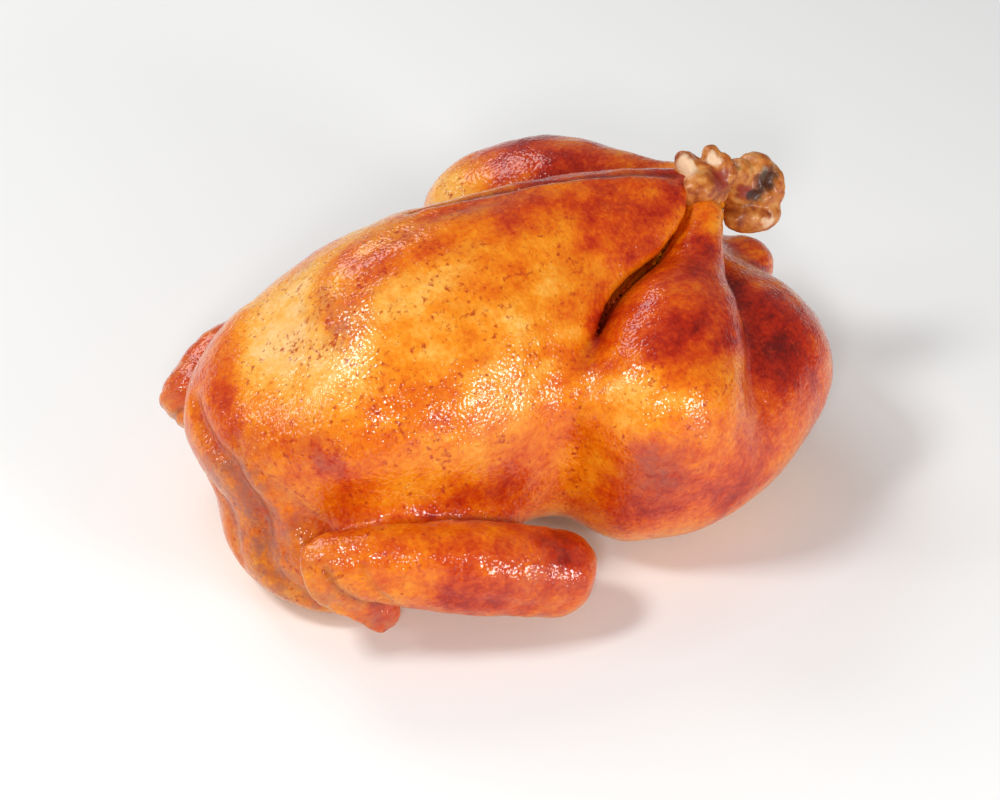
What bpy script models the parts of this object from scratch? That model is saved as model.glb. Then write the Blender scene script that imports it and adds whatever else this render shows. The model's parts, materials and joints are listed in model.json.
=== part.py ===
"""Whole roast chicken, breast up, legs crossed over the tail, wings folded at the sides.

Metres, +Z up, +X toward the tail, resting on the flat of its back at z = 0.
"""

import math

import bmesh
import bpy
from mathutils import Matrix, Vector

MM = 0.001
NEAR = -1.0
FAR = 1.0

# Trunk masses: centre and half sizes in millimetres.
BACK_CENTRE = (-5.0, 0.0, 38.5)
BACK_HALF = (93.0, 51.0, 41.5)
BREAST_CENTRE = (-25.5, 20.0, 59.0)
BREAST_HALF = (69.5, 33.5, 41.0)
BREAST_YAW_DEG = 4.0
NECK_CENTRE = (-70.0, -2.0, 38.0)
NECK_HALF = (41.5, 44.0, 39.0)
NECK_FOLD_CENTRE = (-80.0, -22.0, 17.5)
NECK_FOLD_HALF = (24.0, 29.0, 20.0)
RUMP_CENTRE = (61.0, 0.0, 37.0)
RUMP_HALF = (37.0, 40.0, 34.0)

# Limbs: stations of x, distance from the middle plane, z and radius in millimetres.
KEEL = ((-70.0, 0.0, 52.0, 29.0), (-46.5, 0.0, 75.0, 31.5), (-5.0, 0.0, 78.5, 33.5),
        (37.0, 0.0, 79.5, 28.5), (63.5, 0.0, 83.0, 18.0))
DRUMSTICK = ((25.5, 55.0, 59.0, 29.0), (39.0, 43.5, 67.5, 27.0), (53.0, 30.5, 76.0, 19.5))
NEAR_SHANK = ((64.5, 16.0, 83.5, 12.0), (72.0, 8.5, 89.5, 8.5), (77.0, 1.0, 93.0, 8.5),
              (79.0, -4.0, 94.5, 10.5))
FAR_SHANK = ((68.5, 15.0, 82.5, 12.5), (81.0, 5.5, 86.0, 9.0), (88.5, 0.0, 86.0, 10.0),
             (93.0, -5.0, 84.5, 11.5))
THIGH = ((66.0, 34.0, 42.0, 33.5), (50.5, 43.5, 36.0, 33.5), (31.5, 52.0, 31.0, 31.5),
         (18.0, 55.0, 24.0, 23.0))
FOREARM = ((-90.0, 54.0, 39.0, 13.0), (-69.5, 62.5, 32.5, 14.5), (-48.5, 70.5, 25.5, 15.0),
           (-28.5, 76.0, 20.0, 15.0))
UPPER_ARM = ((-71.0, 42.0, 47.5, 16.0), (-54.0, 53.0, 36.0, 15.5), (-33.0, 61.0, 26.5, 14.5))
WING_TIP = ((-86.5, 54.0, 32.0, 10.0), (-83.0, 53.5, 20.0, 9.5), (-79.0, 51.0, 11.0, 8.5))
TAIL = ((79.0, 0.0, 42.0, 16.0), (89.0, 0.0, 49.5, 12.5), (94.5, 0.0, 52.0, 10.5))

SPHERE_SEGMENTS = 32
SPHERE_RINGS = 20
STEPS_PER_SPAN = 4
VOXEL = 2.6 * MM
SMOOTH_FACTOR = 0.5
SMOOTH_STEPS = 16
TRIANGLE_SHARE = 0.2
BASE_CUTTER = (400.0, 400.0, 60.0)
LENGTH_MIDDLE_X = -3.4

SKIN_COLOUR = (0.55, 0.20, 0.04, 1.0)
SKIN_ROUGHNESS = 0.35


def clear_scene():
    """Remove every object of the start scene."""
    for item in list(bpy.data.objects):
        bpy.data.objects.remove(item, do_unlink=True)


def skin_material():
    """Return the plain browned skin material."""
    material = bpy.data.materials.new("roasted_skin")
    material.use_nodes = True
    shader = material.node_tree.nodes["Principled BSDF"]
    shader.inputs["Base Color"].default_value = SKIN_COLOUR
    shader.inputs["Roughness"].default_value = SKIN_ROUGHNESS
    material.diffuse_color = SKIN_COLOUR
    return material


def add_ellipsoid(bm, centre, half, yaw_deg=0.0):
    """Add one closed ellipsoid, turned about the vertical."""
    place = Matrix.Translation(Vector(centre) * MM)
    turn = Matrix.Rotation(math.radians(yaw_deg), 4, "Z")
    stretch = Matrix.Diagonal((half[0] * MM, half[1] * MM, half[2] * MM, 1.0))
    bmesh.ops.create_uvsphere(
        bm,
        u_segments=SPHERE_SEGMENTS,
        v_segments=SPHERE_RINGS,
        radius=1.0,
        matrix=place @ turn @ stretch,
    )


def spline_stations(stations):
    """Return denser stations on a smooth curve through the given ones."""
    points = [Vector(row) for row in stations]
    before = points[0] * 2.0 - points[1]
    after = points[-1] * 2.0 - points[-2]
    padded = [before] + points + [after]
    dense = []
    for index in range(1, len(padded) - 2):
        p0, p1, p2, p3 = padded[index - 1:index + 3]
        for step in range(STEPS_PER_SPAN):
            t = step / STEPS_PER_SPAN
            linear = (p2 - p0) * t
            square = (p0 * 2.0 - p1 * 5.0 + p2 * 4.0 - p3) * t * t
            cube = (p1 * 3.0 - p0 - p2 * 3.0 + p3) * t * t * t
            dense.append((p1 * 2.0 + linear + square + cube) * 0.5)
    dense.append(points[-1])
    return dense


def add_round_link(bm, first, second):
    """Add the closed hull of two balls, a link of a limb with rounded ends."""
    hull = bmesh.new()
    for station in (first, second):
        bmesh.ops.create_uvsphere(
            hull,
            u_segments=SPHERE_SEGMENTS,
            v_segments=SPHERE_RINGS,
            radius=station[3] * MM,
            matrix=Matrix.Translation(Vector(station[:3]) * MM),
        )
    bmesh.ops.delete(hull, geom=list(hull.edges), context="EDGES_FACES")
    bmesh.ops.convex_hull(hull, input=list(hull.verts), use_existing_faces=False)
    inner = [vertex for vertex in hull.verts if not vertex.link_faces]
    bmesh.ops.delete(hull, geom=inner, context="VERTS")
    bmesh.ops.recalc_face_normals(hull, faces=list(hull.faces))
    mesh = bpy.data.meshes.new("link")
    hull.to_mesh(mesh)
    hull.free()
    bm.from_mesh(mesh)
    bpy.data.meshes.remove(mesh)


def add_limb(bm, stations, side):
    """Add a limb of rounded links on one side of the middle plane."""
    placed = [(x, side * y, z, radius) for x, y, z, radius in stations]
    dense = spline_stations(placed)
    for first, second in zip(dense[:-1], dense[1:]):
        add_round_link(bm, first, second)


def add_trunk(bm):
    """Add the back, the two breast halves, the keel, the neck end, the rump and the tail."""
    add_ellipsoid(bm, BACK_CENTRE, BACK_HALF)
    for side in (NEAR, FAR):
        centre = (BREAST_CENTRE[0], side * BREAST_CENTRE[1], BREAST_CENTRE[2])
        add_ellipsoid(bm, centre, BREAST_HALF, -side * BREAST_YAW_DEG)
    add_ellipsoid(bm, NECK_CENTRE, NECK_HALF)
    add_ellipsoid(bm, NECK_FOLD_CENTRE, NECK_FOLD_HALF)
    add_ellipsoid(bm, RUMP_CENTRE, RUMP_HALF)
    add_limb(bm, KEEL, FAR)
    add_limb(bm, TAIL, FAR)


def add_legs(bm):
    """Add the thighs and the drumsticks with their crossed shank ends."""
    add_limb(bm, DRUMSTICK + NEAR_SHANK, NEAR)
    add_limb(bm, DRUMSTICK + FAR_SHANK, FAR)
    for side in (NEAR, FAR):
        add_limb(bm, THIGH, side)


def add_wings(bm):
    """Add the folded wings: upper arm, forearm and tucked tip."""
    for side in (NEAR, FAR):
        add_limb(bm, FOREARM, side)
        add_limb(bm, UPPER_ARM, side)
        add_limb(bm, WING_TIP, side)


def base_cutter():
    """Return the hidden block that trims the underside to the resting plane."""
    width, depth, height = (value * MM for value in BASE_CUTTER)
    bm = bmesh.new()
    place = Matrix.Translation((0.0, 0.0, -height / 2.0))
    stretch = Matrix.Diagonal((width, depth, height, 1.0))
    bmesh.ops.create_cube(bm, size=1.0, matrix=place @ stretch)
    mesh = bpy.data.meshes.new("base_cutter")
    bm.to_mesh(mesh)
    bm.free()
    cutter = bpy.data.objects.new("base_cutter", mesh)
    bpy.context.scene.collection.objects.link(cutter)
    cutter.hide_render = True
    cutter.display_type = "WIRE"
    return cutter


def build_chicken():
    """Build the bird as one solid: masses fused, softened, thinned and trimmed flat."""
    bm = bmesh.new()
    add_trunk(bm)
    add_legs(bm)
    add_wings(bm)
    bmesh.ops.translate(bm, verts=list(bm.verts), vec=(-LENGTH_MIDDLE_X * MM, 0.0, 0.0))
    mesh = bpy.data.meshes.new("roast_chicken")
    bm.to_mesh(mesh)
    bm.free()
    mesh.materials.append(skin_material())
    bird = bpy.data.objects.new("roast_chicken", mesh)
    bpy.context.scene.collection.objects.link(bird)

    fuse = bird.modifiers.new("fuse", "REMESH")
    fuse.mode = "VOXEL"
    fuse.voxel_size = VOXEL
    fuse.use_smooth_shade = True
    soften = bird.modifiers.new("soften", "SMOOTH")
    soften.factor = SMOOTH_FACTOR
    soften.iterations = SMOOTH_STEPS
    thin = bird.modifiers.new("thin", "DECIMATE")
    thin.decimate_type = "COLLAPSE"
    thin.ratio = TRIANGLE_SHARE
    thin.use_collapse_triangulate = True
    trim = bird.modifiers.new("trim", "BOOLEAN")
    trim.operation = "DIFFERENCE"
    trim.solver = "EXACT"
    trim.object = base_cutter()
    return bird


def main():
    """Build the whole part."""
    clear_scene()
    build_chicken()


main()
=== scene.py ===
"""Whole roast chicken: glossy browned skin over breast, legs and folded wings.

Metres in the scene, millimetres in the form tables, +X toward the tail, +Z up.
"""

import json
import logging
import math
from dataclasses import dataclass, field
from enum import Enum
from typing import Callable

import bpy
import numpy as np
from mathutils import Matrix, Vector

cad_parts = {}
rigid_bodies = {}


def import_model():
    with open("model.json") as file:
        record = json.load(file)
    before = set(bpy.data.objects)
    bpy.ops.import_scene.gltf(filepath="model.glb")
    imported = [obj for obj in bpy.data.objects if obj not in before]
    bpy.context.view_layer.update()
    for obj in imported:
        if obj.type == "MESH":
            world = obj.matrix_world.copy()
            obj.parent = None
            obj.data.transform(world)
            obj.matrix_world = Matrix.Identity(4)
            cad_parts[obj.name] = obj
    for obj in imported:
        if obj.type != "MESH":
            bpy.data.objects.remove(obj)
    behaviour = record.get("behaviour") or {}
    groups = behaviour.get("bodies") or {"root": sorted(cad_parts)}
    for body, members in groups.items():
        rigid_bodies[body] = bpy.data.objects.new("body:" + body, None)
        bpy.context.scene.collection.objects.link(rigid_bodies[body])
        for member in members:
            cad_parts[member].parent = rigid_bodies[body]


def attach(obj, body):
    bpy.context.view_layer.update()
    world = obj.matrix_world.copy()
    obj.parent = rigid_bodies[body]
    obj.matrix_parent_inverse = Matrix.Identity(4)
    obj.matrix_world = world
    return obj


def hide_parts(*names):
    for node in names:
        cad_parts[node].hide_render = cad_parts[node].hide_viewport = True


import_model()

LOG = logging.getLogger("roast_chicken")
MM = 0.001
FAR_AWAY = 1e9
CULL_DISTANCE = 24.0
CAD_NODE = "roast_chicken"

Triple = tuple[float, float, float]
Place = tuple[float, float]
Stations = tuple[tuple[float, float, float, float], ...]
Distance = Callable[[np.ndarray], np.ndarray]


class Side(Enum):
    """The two sides of the bird's middle plane."""

    NEAR = -1.0
    FAR = 1.0


# ---------------------------------------------------------------- shape tools


def smooth_step(low: float, high: float, value: np.ndarray) -> np.ndarray:
    """Rise smoothly from 0 at low to 1 at high.

    Args:
        low: Where the rise starts.
        high: Where the rise ends.
        value: The values to ease.

    Returns:
        Eased values between 0 and 1.
    """
    t = np.clip((value - low) / (high - low), 0.0, 1.0)
    return t * t * (3.0 - 2.0 * t)


def melt(first: np.ndarray, second: np.ndarray, width: float | np.ndarray) -> np.ndarray:
    """Join two bodies with a soft fillet.

    Args:
        first: Distances to the first body, in mm.
        second: Distances to the second body, in mm.
        width: Width of the fillet, in mm.

    Returns:
        Distances to the joined body.
    """
    overlap = np.maximum(width - np.abs(first - second), 0.0) / np.maximum(width, 1e-6)
    return np.minimum(first, second) - overlap * overlap * width * 0.25


@dataclass(frozen=True)
class Mass:
    """An egg-shaped lump of flesh, in mm, turned about the vertical."""

    centre: Triple
    half: Triple
    yaw_deg: float = 0.0

    def distance(self, points: np.ndarray) -> np.ndarray:
        """Return the distance of points from the lump's surface.

        Args:
            points: Points in mm, one row each.

        Returns:
            Distances in mm, negative inside.
        """
        yaw = math.radians(self.yaw_deg)
        turn = np.array([
            [math.cos(yaw), -math.sin(yaw), 0.0],
            [math.sin(yaw), math.cos(yaw), 0.0],
            [0.0, 0.0, 1.0],
        ])
        local = (points - np.array(self.centre)) @ turn
        half = np.array(self.half)
        reach = np.sqrt(((local / half) ** 2).sum(axis=-1)) + 1e-9
        slope = np.sqrt(((local / half**2) ** 2).sum(axis=-1)) + 1e-9
        return reach * (reach - 1.0) / slope

    def mirrored(self, side: Side) -> "Mass":
        """Return the lump on one side of the middle plane."""
        x, y, z = self.centre
        return Mass((x, y * side.value, z), self.half, self.yaw_deg * side.value)


@dataclass(frozen=True)
class Limb:
    """A limb of round section through stations of x, y, z and radius, in mm."""

    stations: Stations
    steps: int = 6

    def path(self) -> np.ndarray:
        """Return dense stations on a smooth curve through the given ones.

        Returns:
            Rows of x, y, z and radius in mm.
        """
        rows = np.array(self.stations, dtype=float)
        padded = np.vstack([2.0 * rows[0] - rows[1], rows, 2.0 * rows[-1] - rows[-2]])
        dense = []
        for index in range(1, len(padded) - 2):
            p0, p1, p2, p3 = padded[index - 1:index + 3]
            for step in range(self.steps):
                t = step / self.steps
                square = (2.0 * p0 - 5.0 * p1 + 4.0 * p2 - p3) * t * t
                cube = (3.0 * p1 - p0 - 3.0 * p2 + p3) * t * t * t
                dense.append(0.5 * (2.0 * p1 + (p2 - p0) * t + square + cube))
        dense.append(rows[-1])
        return np.array(dense)

    def distance(self, points: np.ndarray) -> np.ndarray:
        """Return the distance of points from the limb's surface.

        Args:
            points: Points in mm, one row each.

        Returns:
            Distances in mm, negative inside.
        """
        path = self.path()
        middle = path[:, :3].mean(axis=0)
        reach = (np.linalg.norm(path[:, :3] - middle, axis=1) + path[:, 3]).max()
        result = np.linalg.norm(points - middle, axis=1) - reach
        close = result < CULL_DISTANCE
        near_points = points[close]
        nearest = np.full(len(near_points), FAR_AWAY)
        for start, end in zip(path[:-1], path[1:]):
            nearest = np.minimum(nearest, cone_distance(near_points, start, end))
        result[close] = nearest
        return result

    def mirrored(self, side: Side) -> "Limb":
        """Return the limb on one side of the middle plane."""
        rows = tuple((x, y * side.value, z, r) for x, y, z, r in self.stations)
        return Limb(rows, self.steps)


def cone_distance(points: np.ndarray, start: np.ndarray, end: np.ndarray) -> np.ndarray:
    """Return the distance from a round-ended cone.

    Args:
        points: Points in mm, one row each.
        start: First ball: x, y, z and radius.
        end: Second ball: x, y, z and radius.

    Returns:
        Distances in mm, negative inside.
    """
    axis = end[:3] - start[:3]
    length_2 = float(axis @ axis)
    taper = float(start[3] - end[3])
    side_2 = max(length_2 - taper * taper, 1e-6)
    offset = points - start[:3]
    along = offset @ axis
    beyond = along - length_2
    across_2 = ((offset * length_2 - axis * along[:, None]) ** 2).sum(axis=1)
    turn = np.sign(taper) * taper * taper * across_2
    result = (np.sqrt(across_2 * side_2 / length_2) + along * taper) / length_2 - start[3]
    at_start = np.sqrt(across_2 + along**2 * length_2) / length_2 - start[3]
    at_end = np.sqrt(across_2 + beyond**2 * length_2) / length_2 - end[3]
    result = np.where(np.sign(along) * side_2 * along**2 * length_2 < turn, at_start, result)
    return np.where(np.sign(beyond) * side_2 * beyond**2 * length_2 > turn, at_end, result)


def path_distance(points: np.ndarray, path: np.ndarray) -> np.ndarray:
    """Return the distance of points from a line through path points.

    Args:
        points: Points in mm, one row each.
        path: Points of the line in mm, one row each.

    Returns:
        Distances in mm.
    """
    nearest = np.full(len(points), FAR_AWAY)
    for start, end in zip(path[:-1], path[1:]):
        axis = end - start
        offset = points - start
        t = np.clip(offset @ axis / max(float(axis @ axis), 1e-9), 0.0, 1.0)
        nearest = np.minimum(nearest, np.linalg.norm(offset - t[:, None] * axis, axis=1))
    return nearest


def flesh_noise(points: np.ndarray, size: float, seed: int) -> np.ndarray:
    """Return smooth random waves.

    Args:
        points: Points in mm, one row each.
        size: Size of a wave in mm.
        seed: Which pattern.

    Returns:
        Values of about -1 to 1.
    """
    scaled = points / size + seed * 17.31
    cell = np.floor(scaled).astype(np.int64)
    part = scaled - cell
    ease = part**3 * (part * (part * 6.0 - 15.0) + 10.0)
    total = np.zeros(len(points))
    for corner in np.ndindex(2, 2, 2):
        spot = cell + np.array(corner)
        mix = spot[:, 0] * 73856093 ^ spot[:, 1] * 19349663 ^ spot[:, 2] * 83492791
        mix = (mix + seed * 2654435761) & 0xFFFFFFFF
        mix = ((mix ^ (mix >> 15)) * 2246822519) & 0xFFFFFFFF
        mix = ((mix ^ (mix >> 13)) * 3266489917) & 0xFFFFFFFF
        mix = mix ^ (mix >> 16)
        slope = np.stack([(mix >> shift & 1023) / 511.5 - 1.0 for shift in (0, 10, 20)], axis=1)
        lift = ((part - np.array(corner)) * slope).sum(axis=1)
        share = np.prod(np.where(np.array(corner) == 1, ease, 1.0 - ease), axis=1)
        total += lift * share
    return total * 1.5


def layered_noise(points: np.ndarray, size: float, seed: int, layers: int = 3) -> np.ndarray:
    """Return random waves with finer ones on top.

    Args:
        points: Points in mm, one row each.
        size: Size of the widest waves in mm.
        seed: Which pattern.
        layers: How many sizes of waves, each half as high as the one before.

    Returns:
        Values of about -1 to 1.
    """
    total = np.zeros(len(points))
    for layer in range(layers):
        total += flesh_noise(points, size / 2.1**layer, seed + layer) * 0.5**layer
    return total


@dataclass
class SkinNet:
    """Wraps a distance function in a skin of even four-sided faces."""

    low: Triple
    high: Triple
    cell: float
    coarse: int = 4

    def wrap(self, distance: Distance) -> tuple[np.ndarray, np.ndarray]:
        """Return the points and faces of the zero surface.

        Args:
            distance: Gives the distance of each point, negative inside.

        Returns:
            The skin's points in mm and its faces as rows of four indices.
        """
        values = self.sample(distance)
        points, faces = self.connect(values)
        for _ in range(2):
            points = self.settle(points, distance)
        return points, faces

    def sample(self, distance: Distance) -> np.ndarray:
        """Return distances on the grid, worked out finely only near the surface.

        Args:
            distance: Gives the distance of each point, negative inside.

        Returns:
            Distances in mm on a block of grid points.
        """
        low = np.array(self.low)
        blocks = np.ceil((np.array(self.high) - low) / (self.cell * self.coarse)).astype(int)
        wide = [low[i] + self.cell * self.coarse * np.arange(blocks[i] + 1) for i in range(3)]
        grid = np.stack(np.meshgrid(*wide, indexing="ij"), axis=-1)
        values = distance(grid.reshape(-1, 3)).reshape(grid.shape[:3])
        for axis in range(3):
            values = self.refine(values, axis)
        near = np.abs(values) < self.cell * self.coarse * 0.75
        index = np.argwhere(near)
        values[near] = distance(low + index * self.cell)
        return values

    def refine(self, values: np.ndarray, axis: int) -> np.ndarray:
        """Return the values with straight steps added between rows along one axis.

        Args:
            values: Distances on a block of grid points.
            axis: The axis to add rows along.

        Returns:
            The same block with finer rows.
        """
        count = (values.shape[axis] - 1) * self.coarse + 1
        place = np.arange(count) / self.coarse
        start = np.minimum(place.astype(int), values.shape[axis] - 2)
        shape = [1, 1, 1]
        shape[axis] = count
        share = (place - start).reshape(shape)
        first = np.take(values, start, axis=axis)
        second = np.take(values, start + 1, axis=axis)
        return first * (1.0 - share) + second * share

    def connect(self, values: np.ndarray) -> tuple[np.ndarray, np.ndarray]:
        """Join the cells that the surface crosses.

        Args:
            values: Distances on a block of grid points.

        Returns:
            One point in mm for each crossed cell, and the faces between them.
        """
        inside = values < 0.0
        size = np.array(values.shape) - 1
        corners = list(np.ndindex(2, 2, 2))
        count = sum(self.shifted(inside, corner, size).astype(np.int8) for corner in corners)
        crossed = (count > 0) & (count < 8)
        cells = np.argwhere(crossed)
        index = np.full(crossed.shape, -1, dtype=np.int64)
        index[crossed] = np.arange(len(cells))
        total = np.zeros((len(cells), 3))
        hits = np.zeros(len(cells))
        for corner in corners:
            for axis in range(3):
                if corner[axis]:
                    continue
                other = list(corner)
                other[axis] = 1
                first = values[tuple((cells + np.array(corner)).T)]
                second = values[tuple((cells + np.array(other)).T)]
                cut = (first < 0.0) != (second < 0.0)
                share = np.where(cut, first / (first - second + 1e-30), 0.0)
                spot = np.tile(np.array(corner, dtype=float), (len(cells), 1))
                spot[:, axis] += share
                total[cut] += spot[cut]
                hits[cut] += 1
        points = (cells + total / hits[:, None]) * self.cell + np.array(self.low)
        faces = [self.faces_across(inside, index, axis) for axis in range(3)]
        return points, np.vstack(faces)

    @staticmethod
    def shifted(inside: np.ndarray, corner: tuple[int, ...], size: np.ndarray) -> np.ndarray:
        """Return what one corner of every cell holds."""
        return inside[tuple(slice(c, c + n) for c, n in zip(corner, size))]

    @staticmethod
    def faces_across(inside: np.ndarray, index: np.ndarray, axis: int) -> np.ndarray:
        """Return the faces that cross grid edges along one axis.

        Args:
            inside: Whether each grid point is inside.
            index: The point number of each cell.
            axis: The axis of the edges.

        Returns:
            Rows of four point numbers, facing out.
        """
        second, third = (axis + 1) % 3, (axis + 2) % 3
        start = [slice(None)] * 3
        end = [slice(None)] * 3
        start[axis], end[axis] = slice(0, -1), slice(1, None)
        edges = np.argwhere(inside[tuple(start)] != inside[tuple(end)])
        limit = np.array(index.shape)
        good = (edges[:, second] > 0) & (edges[:, third] > 0)
        good &= (edges < limit).all(axis=1)
        edges = edges[good]
        ring = []
        for back_2, back_3 in ((1, 1), (0, 1), (0, 0), (1, 0)):
            cell = edges.copy()
            cell[:, second] -= back_2
            cell[:, third] -= back_3
            ring.append(index[tuple(cell.T)])
        faces = np.stack(ring, axis=1)
        flip = ~inside[tuple(edges.T)]
        faces[flip] = faces[flip][:, ::-1]
        return faces

    @staticmethod
    def settle(points: np.ndarray, distance: Distance) -> np.ndarray:
        """Move points onto the zero surface along the slope of the distance.

        Args:
            points: Points in mm, one row each.
            distance: Gives the distance of each point, negative inside.

        Returns:
            The moved points.
        """
        step = 0.1
        here = distance(points)
        slope = np.stack(
            [distance(points + row) - here for row in np.eye(3) * step], axis=1
        ) / step
        steep = np.maximum((slope**2).sum(axis=1), 0.05)
        move = np.clip(here / steep, -0.5, 0.5)
        return points - slope * move[:, None]


@dataclass
class Skin:
    """A closed skin of points and faces, with painted values on its points."""

    points: np.ndarray
    faces: np.ndarray
    paint: dict[str, np.ndarray] = field(default_factory=dict)

    def edges(self) -> np.ndarray:
        """Return every edge once for each face that has it."""
        return np.vstack([self.faces[:, [i, (i + 1) % 4]] for i in range(4)])

    def average(self, values: np.ndarray) -> np.ndarray:
        """Return the mean of each point's neighbours.

        Args:
            values: One row of values for each point.

        Returns:
            Averaged values of the same shape.
        """
        first, second = self.edges().T
        count = np.bincount(first, minlength=len(self.points))
        count = count + np.bincount(second, minlength=len(self.points))
        result = np.empty_like(values)
        for column in range(values.shape[1]):
            row = values[:, column]
            total = np.bincount(first, weights=row[second], minlength=len(row))
            total += np.bincount(second, weights=row[first], minlength=len(row))
            result[:, column] = total / count
        return result

    def soften(self, rounds: int) -> None:
        """Even out the points without shrinking the body.

        Args:
            rounds: How many times.
        """
        for _ in range(rounds):
            self.points = self.points + 0.5 * (self.average(self.points) - self.points)
            self.points = self.points - 0.52 * (self.average(self.points) - self.points)

    def normals(self) -> np.ndarray:
        """Return which way the skin faces.

        Returns:
            The unit direction outward at each point.
        """
        a, b, c, d = (self.points[self.faces[:, i]] for i in range(4))
        face = np.cross(c - a, d - b)
        total = np.zeros_like(self.points)
        for i in range(4):
            for column in range(3):
                total[:, column] += np.bincount(
                    self.faces[:, i], weights=face[:, column], minlength=len(total)
                )
        return total / np.maximum(np.linalg.norm(total, axis=1, keepdims=True), 1e-12)

    def swell(self, amount: np.ndarray) -> None:
        """Push points out along their normals by amounts in mm."""
        self.points = self.points + self.normals() * amount[:, None]

    def make(self, name: str) -> bpy.types.Object:
        """Return the skin as a smooth-shaded object with its paint as attributes.

        Args:
            name: The piece's name.

        Returns:
            The new object, in the scene.
        """
        mesh = bpy.data.meshes.new(name)
        mesh.vertices.add(len(self.points))
        mesh.vertices.foreach_set("co", (self.points * MM).astype(np.float32).ravel())
        mesh.loops.add(self.faces.size)
        mesh.loops.foreach_set("vertex_index", self.faces.astype(np.int32).ravel())
        mesh.polygons.add(len(self.faces))
        mesh.polygons.foreach_set("loop_start", np.arange(len(self.faces), dtype=np.int32) * 4)
        mesh.update(calc_edges=True)
        mesh.validate()
        mesh.shade_smooth()
        for key, values in self.paint.items():
            layer = mesh.attributes.new(key, "FLOAT", "POINT")
            layer.data.foreach_set("value", np.clip(values, 0.0, 1.0).astype(np.float32))
        item = bpy.data.objects.new(name, mesh)
        bpy.context.scene.collection.objects.link(item)
        return item


# ---------------------------------------------------------------- the bird


@dataclass(frozen=True)
class EggChart:
    """Names places on the skin as on an egg, seen from the bird's middle.

    A place is along, from 0 at the neck end to 1 at the tail end, and turn, in degrees
    from the top, positive toward the near side.
    """

    middle: Triple = (0.0, 0.0, 50.0)
    half: Triple = (107.0, 90.0, 60.0)

    def rays(self, places: tuple[Place, ...]) -> np.ndarray:
        """Return the directions from the middle to places.

        Args:
            places: Places as along and turn.

        Returns:
            Unit directions, one row each.
        """
        along, turn = np.array(places, dtype=float).T
        polar, turn = np.pi * along, np.radians(turn)
        rays = np.stack([
            -np.cos(polar), -np.sin(polar) * np.sin(turn), np.sin(polar) * np.cos(turn),
        ], axis=1) * np.array(self.half)
        return rays / np.linalg.norm(rays, axis=1, keepdims=True)

    def line(self, places: tuple[Place, ...], steps: int = 6) -> np.ndarray:
        """Return the directions to a line through places.

        Args:
            places: Places as along and turn.
            steps: How many directions there are from one place to the next.

        Returns:
            Unit directions, one row each.
        """
        ends = self.rays(places)
        rows = [first + (second - first) * step / steps
                for first, second in zip(ends[:-1], ends[1:]) for step in range(steps)]
        rays = np.array(rows + [ends[-1]])
        return rays / np.linalg.norm(rays, axis=1, keepdims=True)

    def land(self, rays: np.ndarray, distance: Distance) -> np.ndarray:
        """Return where rays from outside first meet the skin.

        Args:
            rays: Directions from the middle, one row each.
            distance: Gives the distance of each point, negative inside.

        Returns:
            Points on the skin in mm.
        """
        reach = np.full(len(rays), 150.0)
        points = np.array(self.middle) + rays * reach[:, None]
        for _ in range(50):
            reach = reach - 0.9 * np.maximum(distance(points), 0.0)
            points = np.array(self.middle) + rays * reach[:, None]
        return points

    def measure(self, points: np.ndarray) -> tuple[np.ndarray, np.ndarray]:
        """Return the places of points.

        Args:
            points: Points in mm, one row each.

        Returns:
            Along and turn of each point.
        """
        x, y, z = ((points - np.array(self.middle)) / np.array(self.half)).T
        length = np.sqrt(x * x + y * y + z * z) + 1e-9
        return np.arccos(np.clip(-x / length, -1.0, 1.0)) / np.pi, np.degrees(np.arctan2(-y, z))


@dataclass(frozen=True)
class Fold:
    """A line pressed into the skin, or raised where the depth is negative, in mm, which can carry
    painted shade along it.
    """

    places: tuple[Place, ...]
    width: float
    depth: float
    # How much painted shade the fold lays along its line, as a share of the dark crease colour.
    crease_shade: float = 0.0
    mirrored: bool = True

    def sides(self) -> tuple[float, ...]:
        """Return the signs of turn on which the fold lies."""
        return (1.0, -1.0) if self.mirrored else (1.0,)


@dataclass(frozen=True)
class Spot:
    """A spot of skin, in mm across its radius, that took the oven's heat differently."""

    along: float
    turn: float
    radius: float
    brown: float = 0.0
    blush: float = 0.0
    speck: float = 0.0
    mirrored: bool = True

    def sides(self) -> tuple[float, ...]:
        """Return the signs of turn on which the spot lies."""
        return (1.0, -1.0) if self.mirrored else (1.0,)


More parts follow.
